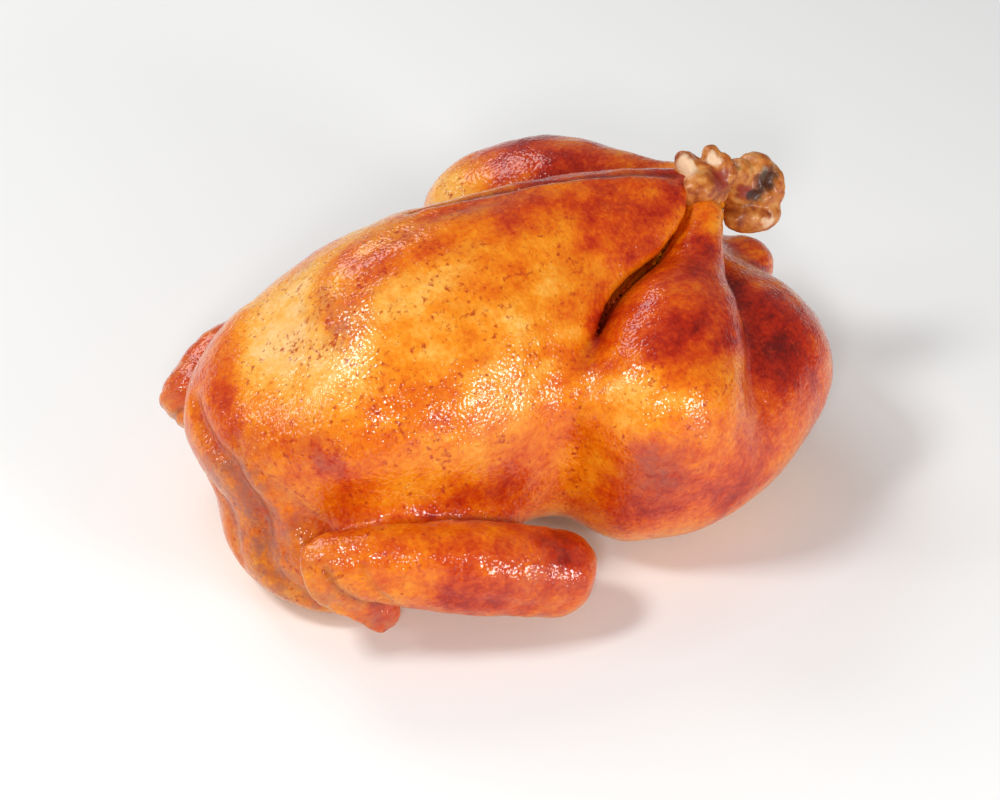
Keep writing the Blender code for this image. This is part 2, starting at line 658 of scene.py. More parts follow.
@dataclass
class Carcass:
    """The skin-covered body: trunk, breast, thighs, drumsticks, wings and tail."""

    chart: EggChart = EggChart()
    back: Mass = Mass((-1.6, 0.0, 38.5), (93.0, 51.5, 41.0))
    breast: Mass = Mass((-23.0, 20.0, 55.5), (68.0, 32.0, 41.0), yaw_deg=-4.0)
    keel: Limb = Limb((
        (-68.0, 0.0, 54.0, 24.0), (-43.0, 0.0, 79.5, 25.5), (-1.5, 0.0, 84.5, 26.5),
        (40.5, 0.0, 84.5, 23.0), (66.0, 0.0, 86.0, 15.0),
    ))
    neck: Mass = Mass((-74.5, 10.0, 46.0), (34.0, 39.0, 28.0))
    neck_flap: Mass = Mass((-74.0, -12.0, 17.0), (33.0, 38.0, 20.0))
    rump: Mass = Mass((65.0, 0.0, 36.0), (36.0, 38.0, 32.5))
    tail: Limb = Limb(((84.0, 0.0, 45.0, 15.0), (93.0, -1.0, 51.5, 12.0), (96.5, -1.0, 54.0, 10.5)))
    near_drumstick: Limb = Limb((
        (28.0, -56.0, 58.0, 28.5), (39.5, -44.0, 67.5, 24.0), (54.0, -30.0, 76.5, 13.4),
        (65.5, -17.5, 83.5, 8.8), (71.2, -10.5, 88.0, 7.8),
    ))
    far_drumstick: Limb = Limb((
        (31.0, 55.0, 58.0, 28.5), (43.0, 44.0, 67.5, 26.5), (57.0, 30.0, 76.0, 18.0),
        (71.0, 16.0, 82.5, 11.5), (80.0, 8.5, 86.0, 9.5), (84.0, 5.5, 86.5, 9.0),
    ))
    thigh: Limb = Limb((
        (72.0, 34.0, 41.0, 32.5), (55.0, 43.5, 37.0, 33.0), (38.0, 49.0, 32.5, 31.0),
        (22.0, 51.0, 29.0, 24.0),
    ))
    wing_top: Limb = Limb((
        (-91.5, 51.0, 37.0, 9.0), (-76.0, 59.0, 38.0, 10.8), (-56.0, 66.0, 34.0, 12.2),
        (-38.0, 71.5, 28.5, 12.8), (-22.5, 74.5, 22.0, 12.6),
    ), steps=4)
    wing_low: Limb = Limb((
        (-91.0, 51.0, 32.0, 8.5), (-76.0, 58.0, 30.5, 10.0), (-56.0, 65.5, 25.5, 11.0),
        (-38.0, 71.0, 20.5, 11.2), (-23.0, 73.5, 16.5, 11.6),
    ), steps=4)
    upper_arm: Limb = Limb((
        (-66.0, 46.0, 31.0, 11.0), (-45.0, 56.0, 21.0, 10.5), (-26.0, 66.0, 14.5, 10.5),
    ), steps=4)
    wing_tip: Limb = Limb((
        (-91.0, 52.0, 30.0, 8.0), (-84.5, 54.5, 21.5, 7.4), (-77.0, 57.0, 13.5, 6.0),
    ), steps=4)
    leg_gap: float = 2.6
    limb_fillet: float = 15.0
    plain_brown: float = 0.46
    plain_blush: float = 0.03
    plain_speck: float = 0.16
    cell: float = 1.25
    folds: tuple[Fold, ...] = (
        # The dip between the breast and the thigh.
        Fold(((0.54, 50.0), (0.49, 63.0), (0.45, 90.0), (0.42, 105.0)), 2.6, 0.6),
        # The tight edge of the breast skin along the far leg, with painted shadow in the gap beside
        # the leg.
        Fold(((0.43, -13.0), (0.50, -9.0), (0.58, -4.0), (0.70, 0.0)), 2.0, 0.9, 0.5,
             mirrored=False),
        Fold(((0.44, -9.0), (0.51, -5.0), (0.60, -1.0), (0.68, 3.0)), 2.6, -0.7, 0.0,
             mirrored=False),
        # Two slack furrows that the heat has drawn along the breast.
        Fold(((0.40, 20.0), (0.50, 17.0), (0.60, 14.0), (0.68, 9.0)), 4.0, 0.7),
        Fold(((0.34, 4.0), (0.44, 5.0), (0.54, 6.0), (0.63, 6.0)), 4.0, 0.6),
        # Where the breast skin ends over the neck flap, and the hem beside that edge; the creases
        # carry a little painted shade.
        Fold(((0.08, -60.0), (0.03, 80.0), (0.09, 135.0), (0.16, 147.0), (0.24, 141.0)), 3.6, 2.6,
             0.12, mirrored=False),
        Fold(((0.06, 60.0), (0.11, 118.0), (0.17, 133.0), (0.23, 131.0)), 3.8, -1.8, 0.0,
             mirrored=False),
        Fold(((0.10, -130.0), (0.10, 175.0), (0.17, 165.0)), 3.0, 1.6, 0.1, mirrored=False),
        Fold(((0.06, 20.0), (0.09, 90.0), (0.14, 112.0), (0.18, 118.0)), 2.6, 0.8, 0.05,
             mirrored=False),
        # The hollow between the wing's two bones, and the fold along its lower edge, which carries
        # a little painted shade.
        Fold(((0.30, 110.0), (0.35, 115.0), (0.40, 119.0)), 2.6, 0.5),
        Fold(((0.31, 127.0), (0.37, 130.0), (0.43, 131.0)), 1.6, 0.9, 0.15),
        # Pleats of loose skin at the wing's folded wrist, with painted shade in the hollows between
        # them.
        Fold(((0.17, 104.0), (0.20, 116.0), (0.25, 128.0), (0.29, 135.0)), 1.7, -1.3),
        Fold(((0.20, 104.0), (0.23, 116.0), (0.27, 125.0)), 1.5, 1.3, 0.35),
        Fold(((0.17, 116.0), (0.21, 126.0), (0.26, 135.0)), 1.4, 1.1, 0.30),
        Fold(((0.23, 100.0), (0.25, 110.0), (0.27, 117.0)), 1.3, 0.6, 0.15),
    )
    spots: tuple[Spot, ...] = (
        # The breast: pale at the neck lobe, browner toward its edge and the tail end.
        Spot(0.18, -16.0, 22.0, brown=-0.26),
        Spot(0.26, -12.0, 18.0, brown=-0.14),
        Spot(0.08, -10.0, 13.0, brown=0.24, mirrored=False),
        Spot(0.13, 32.0, 14.0, brown=0.24),
        Spot(0.26, 28.0, 14.0, brown=-0.12),
        Spot(0.36, 20.0, 18.0, brown=-0.16),
        Spot(0.53, 15.0, 13.0, brown=-0.12),
        Spot(0.43, 37.0, 15.0, brown=-0.24),
        Spot(0.37, 51.0, 13.0, brown=-0.12, blush=0.12),
        Spot(0.25, 80.0, 16.0, brown=-0.14),
        Spot(0.17, 69.0, 18.0, brown=0.10),
        Spot(0.35, 94.0, 13.0, brown=0.04, blush=0.18),
        Spot(0.40, 108.0, 13.0, brown=-0.10, blush=0.35),
        Spot(0.47, 98.0, 10.0, brown=-0.12),
        Spot(0.63, 14.0, 19.0, brown=0.26),
        Spot(0.70, 5.0, 10.0, brown=0.14),
        Spot(0.59, 4.0, 12.0, brown=0.12),
        # The drumsticks and thighs: mahogany where they stood nearest the heat.
        Spot(0.61, 43.0, 18.0, brown=0.38, mirrored=False),
        Spot(0.66, 33.0, 12.0, brown=0.04, mirrored=False),
        Spot(0.57, 40.0, 7.0, brown=0.34, mirrored=False),
        Spot(0.71, 24.0, 8.0, brown=0.12, mirrored=False),
        Spot(0.53, 65.0, 12.0, brown=-0.22),
        Spot(0.76, 70.0, 22.0, brown=0.44),
        Spot(0.78, 40.0, 16.0, brown=0.26),
        Spot(0.69, 92.0, 11.0, brown=0.06),
        Spot(0.54, 88.0, 12.0, brown=0.26, blush=0.65),
        Spot(0.53, 112.0, 15.0, brown=0.22),
        Spot(0.62, 110.0, 20.0, brown=0.26),
        Spot(0.62, -36.0, 14.0, brown=0.36, mirrored=False),
        Spot(0.55, -50.0, 15.0, brown=-0.16, mirrored=False),
        Spot(0.21, -93.0, 15.0, brown=0.26, mirrored=False),
        Spot(0.66, -60.0, 20.0, brown=0.20, mirrored=False),
        # The wings: deep orange, darkest on the top edge and the elbow.
        Spot(0.34, 108.0, 26.0, brown=0.25),
        Spot(0.43, 107.0, 15.0, brown=0.36),
        Spot(0.37, 95.0, 8.0, brown=0.24),
        Spot(0.29, 93.0, 8.0, brown=0.20),
        Spot(0.29, 106.0, 9.0, brown=-0.10),
        Spot(0.22, 118.0, 9.0, blush=0.60),
        Spot(0.28, 134.0, 10.0, brown=0.14, blush=0.80),
        Spot(0.18, 99.0, 9.0, brown=0.12, blush=0.30),
        # The tail.
        Spot(0.92, 28.0, 12.0, brown=0.20, mirrored=False),
        Spot(0.84, 20.0, 8.0, brown=-0.16, mirrored=False),
        # Skin at the neck that the fat has left dull.
        Spot(0.04, 117.0, 12.0, blush=0.85, mirrored=False),
        Spot(0.10, 138.0, 12.0, blush=0.80, mirrored=False),
        Spot(0.08, 164.0, 15.0, blush=0.95, mirrored=False),
        Spot(0.17, 145.0, 13.0, blush=0.85, mirrored=False),
        Spot(0.24, 144.0, 11.0, blush=0.60, mirrored=False),
        # Dull and speckled patches on the breast, where juice has dried.
        Spot(0.30, -23.0, 9.0, brown=0.06, blush=0.20, speck=0.5, mirrored=False),
        Spot(0.28, -2.0, 7.0, brown=0.14, blush=0.45, speck=0.9, mirrored=False),
        Spot(0.29, 10.0, 8.0, brown=0.14, blush=0.75, speck=0.9, mirrored=False),
        Spot(0.35, 4.0, 8.0, brown=0.02, blush=0.35, speck=0.8, mirrored=False),
        Spot(0.22, 5.0, 8.0, blush=0.20, speck=0.7, mirrored=False),
        Spot(0.17, 54.0, 7.0, brown=0.16, blush=0.50, speck=0.9, mirrored=False),
        Spot(0.40, -4.0, 8.0, brown=0.12, blush=0.25, speck=0.7, mirrored=False),
        Spot(0.41, 11.0, 12.0, brown=-0.06, blush=0.10, speck=0.6, mirrored=False),
        Spot(0.50, -3.0, 9.0, brown=0.14, blush=0.25, speck=0.4, mirrored=False),
        Spot(0.27, 45.0, 14.0, brown=0.06, speck=0.5, mirrored=False),
    )

    def distance(self, points: np.ndarray) -> np.ndarray:
        """Return the distance of points from the whole skin-covered body.

        Args:
            points: Points in mm, one row each.

        Returns:
            Distances in mm, negative inside.
        """
        body = self.trunk(points)
        thighs = np.minimum(*[self.thigh.mirrored(side).distance(points) for side in Side])
        on_trunk = smooth_step(0.0, 5.0, thighs - body)
        body = melt(body, thighs, self.limb_fillet)
        free = smooth_step(-92.0, -74.0, points[:, 0])
        for side in Side:
            # A narrow crease along the wing, softer at the wrist.
            body = melt(body, self.wing(points, side), 2.8 + 3.2 * (1.0 - free))
        for drumstick in (self.near_drumstick, self.far_drumstick):
            knee = np.array(drumstick.stations[0][:3])
            ankle = np.array(drumstick.stations[3][:3])
            along = (points - knee) @ (ankle - knee) / float((ankle - knee) @ (ankle - knee))
            free = smooth_step(0.05, 0.38, along)
            # The leg grows out of the thigh, and comes free of the breast toward the ankle.
            fillet = 0.6 + 2.4 * (1.0 - on_trunk) + 14.0 * (1.0 - smooth_step(-0.25, 0.3, along))
            body = self.lay_on(body, drumstick.distance(points), self.leg_gap * free * on_trunk,
                               fillet)
        body = melt(body, self.tail.distance(points), 6.0)
        return np.maximum(body, -points[:, 2])

    @staticmethod
    def lay_on(
        body: np.ndarray, limb: np.ndarray, gap: np.ndarray, fillet: np.ndarray
    ) -> np.ndarray:
        """Lay a limb on the body, with a gap between their skins down to some depth.

        Args:
            body: Distances to the body, in mm.
            limb: Distances to the limb, in mm.
            gap: Width of the gap, in mm.
            fillet: Width of the fillet between them, in mm.

        Returns:
            Distances to the two together.
        """
        parted = gap * smooth_step(-9.0, -4.0, body)
        cut = -melt(-body, limb - parted, 2.5)
        body = body + smooth_step(0.0, 0.8, gap) * (cut - body)
        return melt(body, limb, fillet)

    def trunk(self, points: np.ndarray) -> np.ndarray:
        """Return the distance from the trunk: back, breast, keel, neck, arms and rump.

        Args:
            points: Points in mm, one row each.

        Returns:
            Distances in mm, negative inside.
        """
        body = self.back.distance(points)
        for side in Side:
            body = melt(body, self.breast.mirrored(side).distance(points), 16.0)
        body = melt(body, self.keel.distance(points), 20.0)
        body = melt(body, self.neck.distance(points), 14.0)
        body = melt(body, self.neck_flap.distance(points), 16.0)
        for side in Side:
            body = melt(body, self.upper_arm.mirrored(side).distance(points), 16.0)
        return melt(body, self.rump.distance(points), 20.0)

    def wing(self, points: np.ndarray, side: Side) -> np.ndarray:
        """Return the distance from one folded wing.

        Args:
            points: Points in mm, one row each.
            side: The wing's side of the bird.

        Returns:
            Distances in mm, negative inside.
        """
        forearm = self.wing_top.mirrored(side).distance(points)
        forearm = melt(forearm, self.wing_low.mirrored(side).distance(points), 6.0)
        return melt(forearm, self.wing_tip.mirrored(side).distance(points), 3.0)

    def build(self) -> Skin:
        """Wrap the body in its skin.

        Returns:
            The skin with its folds, dents, browning and painted crease shade.
        """
        net = SkinNet((-117.0, -96.0, -3.75), (117.0, 96.0, 119.0), self.cell)
        skin = Skin(*net.wrap(self.distance))
        skin.soften(2)
        plain = skin.points.copy()
        crease_shade = self.press_folds(skin, plain)
        self.roughen(skin, plain)
        self.colour(skin, plain, crease_shade)
        return skin

    def press_folds(self, skin: Skin, points: np.ndarray) -> np.ndarray:
        """Press the folds into the skin, and gather the painted shade that some of them lay along
        their lines.

        Args:
            skin: The skin to press.
            points: Its points before any change.

        Returns:
            How much painted shade the folds lay on each point.
        """
        push = np.zeros(len(points))
        crease_shade = np.zeros(len(points))
        folds = [(fold, side) for fold in self.folds for side in fold.sides()]
        rays = [
            self.chart.line(tuple((along, side * turn) for along, turn in fold.places))
            for fold, side in folds
        ]
        ends = np.cumsum([len(line) for line in rays])[:-1]
        lines = np.split(self.chart.land(np.vstack(rays), self.distance), ends)
        for (fold, _), line in zip(folds, lines):
            near = path_distance(points, line) / fold.width
            shape = np.exp(-near * near)
            push -= fold.depth * shape
            # Painted shade along the fold's line.
            crease_shade = np.maximum(crease_shade, fold.crease_shade * shape)
        skin.swell(push * smooth_step(1.0, 6.0, points[:, 2]))
        return crease_shade

    def roughen(self, skin: Skin, points: np.ndarray) -> None:
        """Give the skin its lumps, dents and wrinkles.

        Args:
            skin: The skin to shape.
            points: Its points before any change.
        """
        wing = np.minimum(*[self.wing(points, side) for side in Side])
        on_wing = 1.0 - smooth_step(0.5, 4.0, wing)
        shank = np.minimum(
            np.linalg.norm(points - np.array(self.near_drumstick.stations[-1][:3]), axis=1),
            np.linalg.norm(points - np.array(self.far_drumstick.stations[-1][:3]), axis=1),
        )
        on_shank = 1.0 - smooth_step(6.0, 26.0, shank)
        relief = layered_noise(points, 34.0, 3, 2)
        relief += (0.25 + 0.35 * on_wing) * layered_noise(points, 11.0, 11, 2)
        relief += (0.12 + 0.18 * on_wing + 0.3 * on_shank) * flesh_noise(points, 4.2, 23)
        skin.swell(relief * smooth_step(1.0, 8.0, points[:, 2]))

    def colour(self, skin: Skin, points: np.ndarray, crease_shade: np.ndarray) -> None:
        """Paint how browned, blushed and speckled each point of the skin is, and how much painted
        shade lies in its creases and folds.

        Args:
            skin: The skin to paint.
            points: Its points before any change.
            crease_shade: How much painted shade the folds lay on each point.
        """
        wander = points + 5.0 * np.stack(
            [layered_noise(points, 20.0, 40 + i, 3) for i in range(3)], axis=1
        )
        along, turn = self.chart.measure(points)
        brown = np.full(len(points), self.plain_brown)
        blush = np.full(len(points), self.plain_blush)
        speck = np.full(len(points), self.plain_speck)
        spots = [(spot, side) for spot in self.spots for side in spot.sides()]
        rays = self.chart.rays(tuple((spot.along, side * spot.turn) for spot, side in spots))
        centres = self.chart.land(rays, self.distance)
        for (spot, _), centre in zip(spots, centres):
            near = np.linalg.norm(wander - centre, axis=1) / spot.radius
            shape = np.exp(-near * near)
            brown += spot.brown * shape
            blush += spot.blush * shape
            speck += spot.speck * shape
        # Streaks along the breast, where the fat ran.
        stretched = np.stack([along * 110.0, turn * 0.9, np.zeros(len(turn))], axis=1)
        on_breast = smooth_step(80.0, 50.0, np.abs(turn)) * smooth_step(0.2, 0.35, along)
        brown += 0.24 * on_breast * layered_noise(stretched, 9.0, 81, 2)
        # The underside lay in its juice: paler and duller.
        facing = skin.normals()
        under = smooth_step(0.15, 0.85, -facing[:, 2])
        brown += 0.10 * layered_noise(points, 24.0, 61, 4) - 0.18 * under
        blush += 0.35 * under * smooth_step(-0.2, 0.5, layered_noise(points, 30.0, 71, 3))
        bend = self.bend(skin, facing)
        # Painted shade: browner in the creases and paler on the ridges.
        skin.paint["brown"] = brown + 0.08 * np.clip(bend / 0.8, -0.8, 1.0)
        skin.paint["blush"] = blush
        skin.paint["speck"] = speck
        # Painted shade: the dark crease colour, strongest in deep creases and along the folds.
        skin.paint["crease_shade"] = np.maximum(crease_shade, 0.45 * smooth_step(1.2, 3.6, bend))

    @staticmethod
    def bend(skin: Skin, facing: np.ndarray) -> np.ndarray:
        """Measure how far each point of the skin lies in a crease.

        Args:
            skin: The skin to measure.
            facing: Its outward directions.

        Returns:
            Depths in mm, negative on a ridge.
        """
        slack = skin.points
        for _ in range(14):
            slack = skin.average(slack)
        depth = ((slack - skin.points) * facing).sum(axis=1, keepdims=True)
        for _ in range(4):
            depth = skin.average(depth)
        return depth[:, 0]


@dataclass(frozen=True)
class Patch:
    """A patch of one kind of tissue on the knuckles, in mm."""

    centre: Triple
    radius: float


@dataclass
class LegEnds:
    """The bare knuckles of the crossed shanks, with shrunken meat and char."""

    shanks: tuple[Limb, ...] = (
        Limb(((71.0, -11.0, 86.5, 6.2), (73.0, -5.5, 91.5, 6.2), (77.0, -1.0, 96.0, 7.0))),
        Limb(((80.0, 8.5, 86.0, 8.0), (90.0, 1.5, 88.0, 7.6), (98.0, -3.0, 86.5, 7.6))),
    )
    lumps: tuple[Mass, ...] = (
        Mass((73.0, -6.5, 97.0), (8.2, 5.6, 6.2)),
        Mass((91.5, -6.0, 79.5), (7.0, 6.0, 5.4)),
        Mass((74.0, 1.5, 99.5), (5.2, 5.6, 6.6)),
        Mass((84.5, -3.0, 98.5), (5.2, 5.6, 6.6)),
        Mass((79.5, -6.5, 94.5), (5.6, 4.2, 4.8)),
        Mass((71.8, 2.0, 104.0), (2.8, 3.4, 3.2)),
        Mass((81.5, 0.5, 103.6), (3.4, 3.0, 3.4)),
        Mass((90.5, -3.0, 94.5), (6.0, 5.2, 6.0)),
        Mass((98.7, -1.5, 94.0), (6.4, 6.4, 5.2)),
        Mass((96.8, -6.0, 78.4), (9.2, 7.0, 5.6)),
        Mass((104.4, -3.5, 86.5), (3.4, 6.4, 8.6)),
    )
    hollows: tuple[Mass, ...] = (
        Mass((100.0, -12.5, 93.0), (3.6, 5.6, 6.2)),
        Mass((94.5, -13.0, 89.0), (6.0, 5.0, 3.0)),
        Mass((77.0, 0.0, 107.0), (1.8, 6.0, 3.2)),
        Mass((89.0, -2.0, 102.5), (2.6, 7.0, 3.4)),
    )
    char: tuple[Patch, ...] = (
        Patch((99.5, -8.5, 93.0), 6.4), Patch((94.5, -9.5, 89.0), 5.0),
        Patch((73.5, -9.0, 93.0), 2.2), Patch((92.5, -6.0, 84.0), 3.4),
    )
    meat: tuple[Patch, ...] = (
        Patch((79.5, -9.0, 100.0), 5.6), Patch((74.5, -10.0, 98.0), 3.0),
        Patch((90.5, -8.0, 91.0), 4.4), Patch((74.0, -10.0, 91.0), 3.4),
    )
    pale: tuple[Patch, ...] = (
        Patch((80.5, -3.0, 105.0), 3.6), Patch((70.0, -1.5, 104.5), 5.0),
        Patch((97.5, -11.5, 79.0), 3.4), Patch((80.5, -11.0, 86.5), 2.8),
        Patch((98.5, -7.0, 95.0), 3.0),
    )
    cell: float = 0.65

    def distance(self, points: np.ndarray) -> np.ndarray:
        """Return the distance of points from the knuckles.

        Args:
            points: Points in mm, one row each.

        Returns:
            Distances in mm, negative inside.
        """
        body = np.minimum(*[shank.distance(points) for shank in self.shanks])
        for lump in self.lumps:
            body = melt(body, lump.distance(points), 1.8)
        for hollow in self.hollows:
            body = -melt(-body, hollow.distance(points), 1.4)
        rough = 0.7 * flesh_noise(points, 5.6, 5) + 0.3 * flesh_noise(points, 2.2, 6)
        return body - rough

    def build(self) -> Skin:
        """Wrap the knuckles in their surface.

        Returns:
            The surface with its patches of char, meat and pale cartilage.
        """
        net = SkinNet((62.0, -26.0, 66.0), (114.0, 24.0, 115.0), self.cell)
        skin = Skin(*net.wrap(self.distance))
        skin.soften(2)
        torn = 1.5 * np.stack(
            [layered_noise(skin.points, 4.0, 90 + i, 3) for i in range(3)], axis=1
        )
        for key, patches in (("char", self.char), ("meat", self.meat), ("pale", self.pale)):
            amount = np.zeros(len(skin.points))
            for patch in patches:
                away = np.linalg.norm(skin.points + torn - np.array(patch.centre), axis=1)
                amount = np.maximum(amount, smooth_step(1.25, 0.2, away / patch.radius))
            skin.paint[key] = amount
        return skin


# ---------------------------------------------------------------- finishes


def linear(hex_colour: str) -> tuple[float, float, float, float]:
    """Turn an sRGB hex colour linear.

    Args:
        hex_colour: The colour as # and six digits.

    Returns:
        Linear red, green, blue and alpha.
    """
    parts = [int(hex_colour[i:i + 2], 16) / 255.0 for i in (1, 3, 5)]
    flat = [p / 12.92 if p <= 0.04045 else ((p + 0.055) / 1.055) ** 2.4 for p in parts]
    return (flat[0], flat[1], flat[2], 1.0)


def add_node(
    tree: bpy.types.NodeTree, kind: str, inputs: dict | None = None, **settings: object
) -> bpy.types.Node:
    """Add a node with its settings, and set or link its inputs.

    Args:
        tree: The material's node tree.
        kind: The node's type name.
        inputs: Input name or number to a value, or to a socket to link.
        settings: The node's own settings.

    Returns:
        The new node.
    """
    node = tree.nodes.new(kind)
    for name, value in settings.items():
        setattr(node, name, value)
    for key, value in (inputs or {}).items():
        if isinstance(value, bpy.types.NodeSocket):
            tree.links.new(value, node.inputs[key])
        else:
            node.inputs[key].default_value = value
    return node


def new_finish(name: str) -> tuple[bpy.types.Material, bpy.types.NodeTree]:
    """Make an empty material.

    Args:
        name: The material's name.

    Returns:
        The material and its node tree.
    """
    material = bpy.data.materials.new(name)
    material.use_nodes = True
    material.node_tree.nodes.clear()
    return material, material.node_tree


def set_stops(ramp: bpy.types.ColorRamp, stops: tuple[tuple[float, str], ...]) -> None:
    """Give a colour ramp its stops.

    Args:
        ramp: The ramp to fill.
        stops: Places from 0 to 1 with sRGB hex colours.
    """
    while len(ramp.elements) < len(stops):
        ramp.elements.new(0.5)
    for element, (place, colour) in zip(ramp.elements, stops):
        element.position = place
        element.color = linear(colour)


@dataclass(frozen=True)
class RoastedSkin:
    """Oven-browned poultry skin, basted with its own fat.

    The eye sees gold to mahogany browning under a thin film of fat, whose shine the
    goose-flesh pores break up into small glints.
    """

    browning: tuple[tuple[float, str], ...] = (
        (0.00, "#F4C682"), (0.18, "#F0AC46"), (0.34, "#EA8C16"), (0.50, "#DE6C00"),
        (0.64, "#CA4600"), (0.77, "#AC2200"), (0.90, "#860F00"), (1.00, "#640800"),
    )
    blush_colour: str = "#A8604A"
    speck_colour: str = "#AC2E10"
    # Painted shade: the dark colour laid into creases and along folds.
    crease_shade_colour: str = "#3E0E06"
    # All sizes in mm.
    pore_spacing: float = 1.15
    wrinkle_size: float = 4.5
    mottle_size: float = 6.0
    grain_size: float = 1.6
    blush_size: float = 5.0
    swarm_size: float = 9.0
    film_size: float = 12.0
    speck_size: float = 1.8
    flesh_relief: tuple[float, float] = (0.20, 0.30)
    film_relief: tuple[float, float] = (0.28, 0.24)
    # How far the two noises shift the browning, and what keeps their mean at the painted value.
    mottle_share: float = 0.50
    grain_share: float = 0.34
    noise_mean: float = 0.39

    def material(self) -> bpy.types.Material:
        """Make the skin's material.

        Returns:
            The new material.
        """
        material, tree = new_finish("roasted_skin_basted")
        place = add_node(tree, "ShaderNodeTexCoord").outputs["Object"]
        paint = {
            key: add_node(tree, "ShaderNodeAttribute", attribute_name=key).outputs["Fac"]
            for key in ("brown", "blush", "speck", "crease_shade")
        }
        mottle = add_node(tree, "ShaderNodeTexNoise", {
            "Vector": place, "Scale": 1.0 / (self.mottle_size * MM), "Detail": 5.0,
            "Roughness": 0.62,
        }).outputs["Fac"]
        fine = add_node(tree, "ShaderNodeTexNoise", {
            "Vector": place, "Scale": 1.0 / (self.grain_size * MM), "Detail": 3.0,
            "Roughness": 0.6,
        }).outputs["Fac"]
        shade = add_node(tree, "ShaderNodeMath", {
            0: mottle, 1: self.mottle_share, 2: paint["brown"],
        }, operation="MULTIPLY_ADD").outputs[0]
        shade = add_node(tree, "ShaderNodeMath", {
            0: fine, 1: self.grain_share, 2: shade,
        }, operation="MULTIPLY_ADD").outputs[0]
        shade = add_node(tree, "ShaderNodeMath", {0: shade, 1: self.noise_mean},
                         operation="SUBTRACT").outputs[0]
        ramp = add_node(tree, "ShaderNodeValToRGB", {"Fac": shade})
        set_stops(ramp.color_ramp, self.browning)
        colour = ramp.outputs["Color"]
        colour = self.blushed(tree, colour, place, paint["blush"])
        colour = self.speckled(tree, colour, place, paint["speck"])
        # Painted shade: the dark crease colour mixed in where the creases and folds lie.
        colour = add_node(tree, "ShaderNodeMix", {
            "Factor": paint["crease_shade"], 6: colour, 7: linear(self.crease_shade_colour),
        }, data_type="RGBA").outputs[2]
        shader = add_node(tree, "ShaderNodeBsdfPrincipled", {
            "Base Color": colour,
            "Roughness": self.roughness(tree, place),
            "IOR": 1.45,
            "Subsurface Weight": 0.12,
            "Subsurface Radius": (1.0, 0.35, 0.12),
            "Subsurface Scale": 0.004,
            "Specular IOR Level": 0.10,
            "Coat Weight": 0.80,
            "Coat Roughness": 0.13,
            "Coat IOR": 1.46,
            "Normal": self.relief(tree, place, *self.flesh_relief),
            "Coat Normal": self.relief(tree, place, *self.film_relief),
        })
        add_node(tree, "ShaderNodeOutputMaterial", {"Surface": shader.outputs["BSDF"]})
        return material

    def blushed(
        self,
        tree: bpy.types.NodeTree,
        colour: bpy.types.NodeSocket,
        place: bpy.types.NodeSocket,
        amount: bpy.types.NodeSocket,
    ) -> bpy.types.NodeSocket:
        """Add muted purple-brown patches, where fat ran off the skin.

        Args:
            tree: The material's node tree.
            colour: The colour under the patches.
            place: The point on the skin.
            amount: How strongly the point is blushed.

        Returns:
            The socket of the new colour.
        """
        patch = add_node(tree, "ShaderNodeTexNoise", {
            "Vector": place, "Scale": 1.0 / (self.blush_size * MM), "Detail": 4.0,
            "Roughness": 0.7,
        }).outputs["Fac"]
        edge = add_node(tree, "ShaderNodeMapRange", {
            "Value": patch, "From Min": 0.36, "From Max": 0.62, "To Min": 0.1, "To Max": 1.0,
        }).outputs["Result"]
        share = add_node(tree, "ShaderNodeMath", {0: edge, 1: amount},
                         operation="MULTIPLY", use_clamp=True).outputs[0]
        return add_node(tree, "ShaderNodeMix", {
            "Factor": share, 6: colour, 7: linear(self.blush_colour),
        }, data_type="RGBA").outputs[2]

    def speckled(
        self,
        tree: bpy.types.NodeTree,
        colour: bpy.types.NodeSocket,
        place: bpy.types.NodeSocket,
        amount: bpy.types.NodeSocket,
    ) -> bpy.types.NodeSocket:
        """Add small dark specks, where juice beads have burnt on.

        Args:
            tree: The material's node tree.
            colour: The colour under the specks.
            place: The point on the skin.
            amount: How densely the point is speckled.

        Returns:
            The socket of the new colour.
        """
        grain = add_node(tree, "ShaderNodeTexNoise", {
            "Vector": place, "Scale": 1.0 / (self.speck_size * MM), "Detail": 2.0,
            "Roughness": 0.55,
        }).outputs["Fac"]
        swarm = add_node(tree, "ShaderNodeTexNoise", {
            "Vector": place, "Scale": 1.0 / (self.swarm_size * MM), "Detail": 3.0,
            "Roughness": 0.6,
        }).outputs["Fac"]
        level = add_node(tree, "ShaderNodeMath", {0: swarm, 1: 0.45, 2: grain},
                         operation="MULTIPLY_ADD").outputs[0]
        level = add_node(tree, "ShaderNodeMath", {0: amount, 1: 0.11, 2: level},
                         operation="MULTIPLY_ADD").outputs[0]
        share = add_node(tree, "ShaderNodeMapRange", {
            "Value": level, "From Min": 0.84, "From Max": 1.0, "To Min": 0.0, "To Max": 0.85,
        }).outputs["Result"]
        return add_node(tree, "ShaderNodeMix", {
            "Factor": share, 6: colour, 7: linear(self.speck_colour),
        }, data_type="RGBA").outputs[2]

    def roughness(
        self, tree: bpy.types.NodeTree, place: bpy.types.NodeSocket
    ) -> bpy.types.NodeSocket:
        """Vary the roughness where the fat lies thick or has dried.

        Args:
            tree: The material's node tree.
            place: The point on the skin.

        Returns:
            The socket of the roughness.
        """
        film = add_node(tree, "ShaderNodeTexNoise", {
            "Vector": place, "Scale": 1.0 / (self.film_size * MM), "Detail": 3.0,
        }).outputs["Fac"]
        return add_node(tree, "ShaderNodeMapRange", {
            "Value": film, "From Min": 0.3, "From Max": 0.7, "To Min": 0.28, "To Max": 0.46,
        }).outputs["Result"]

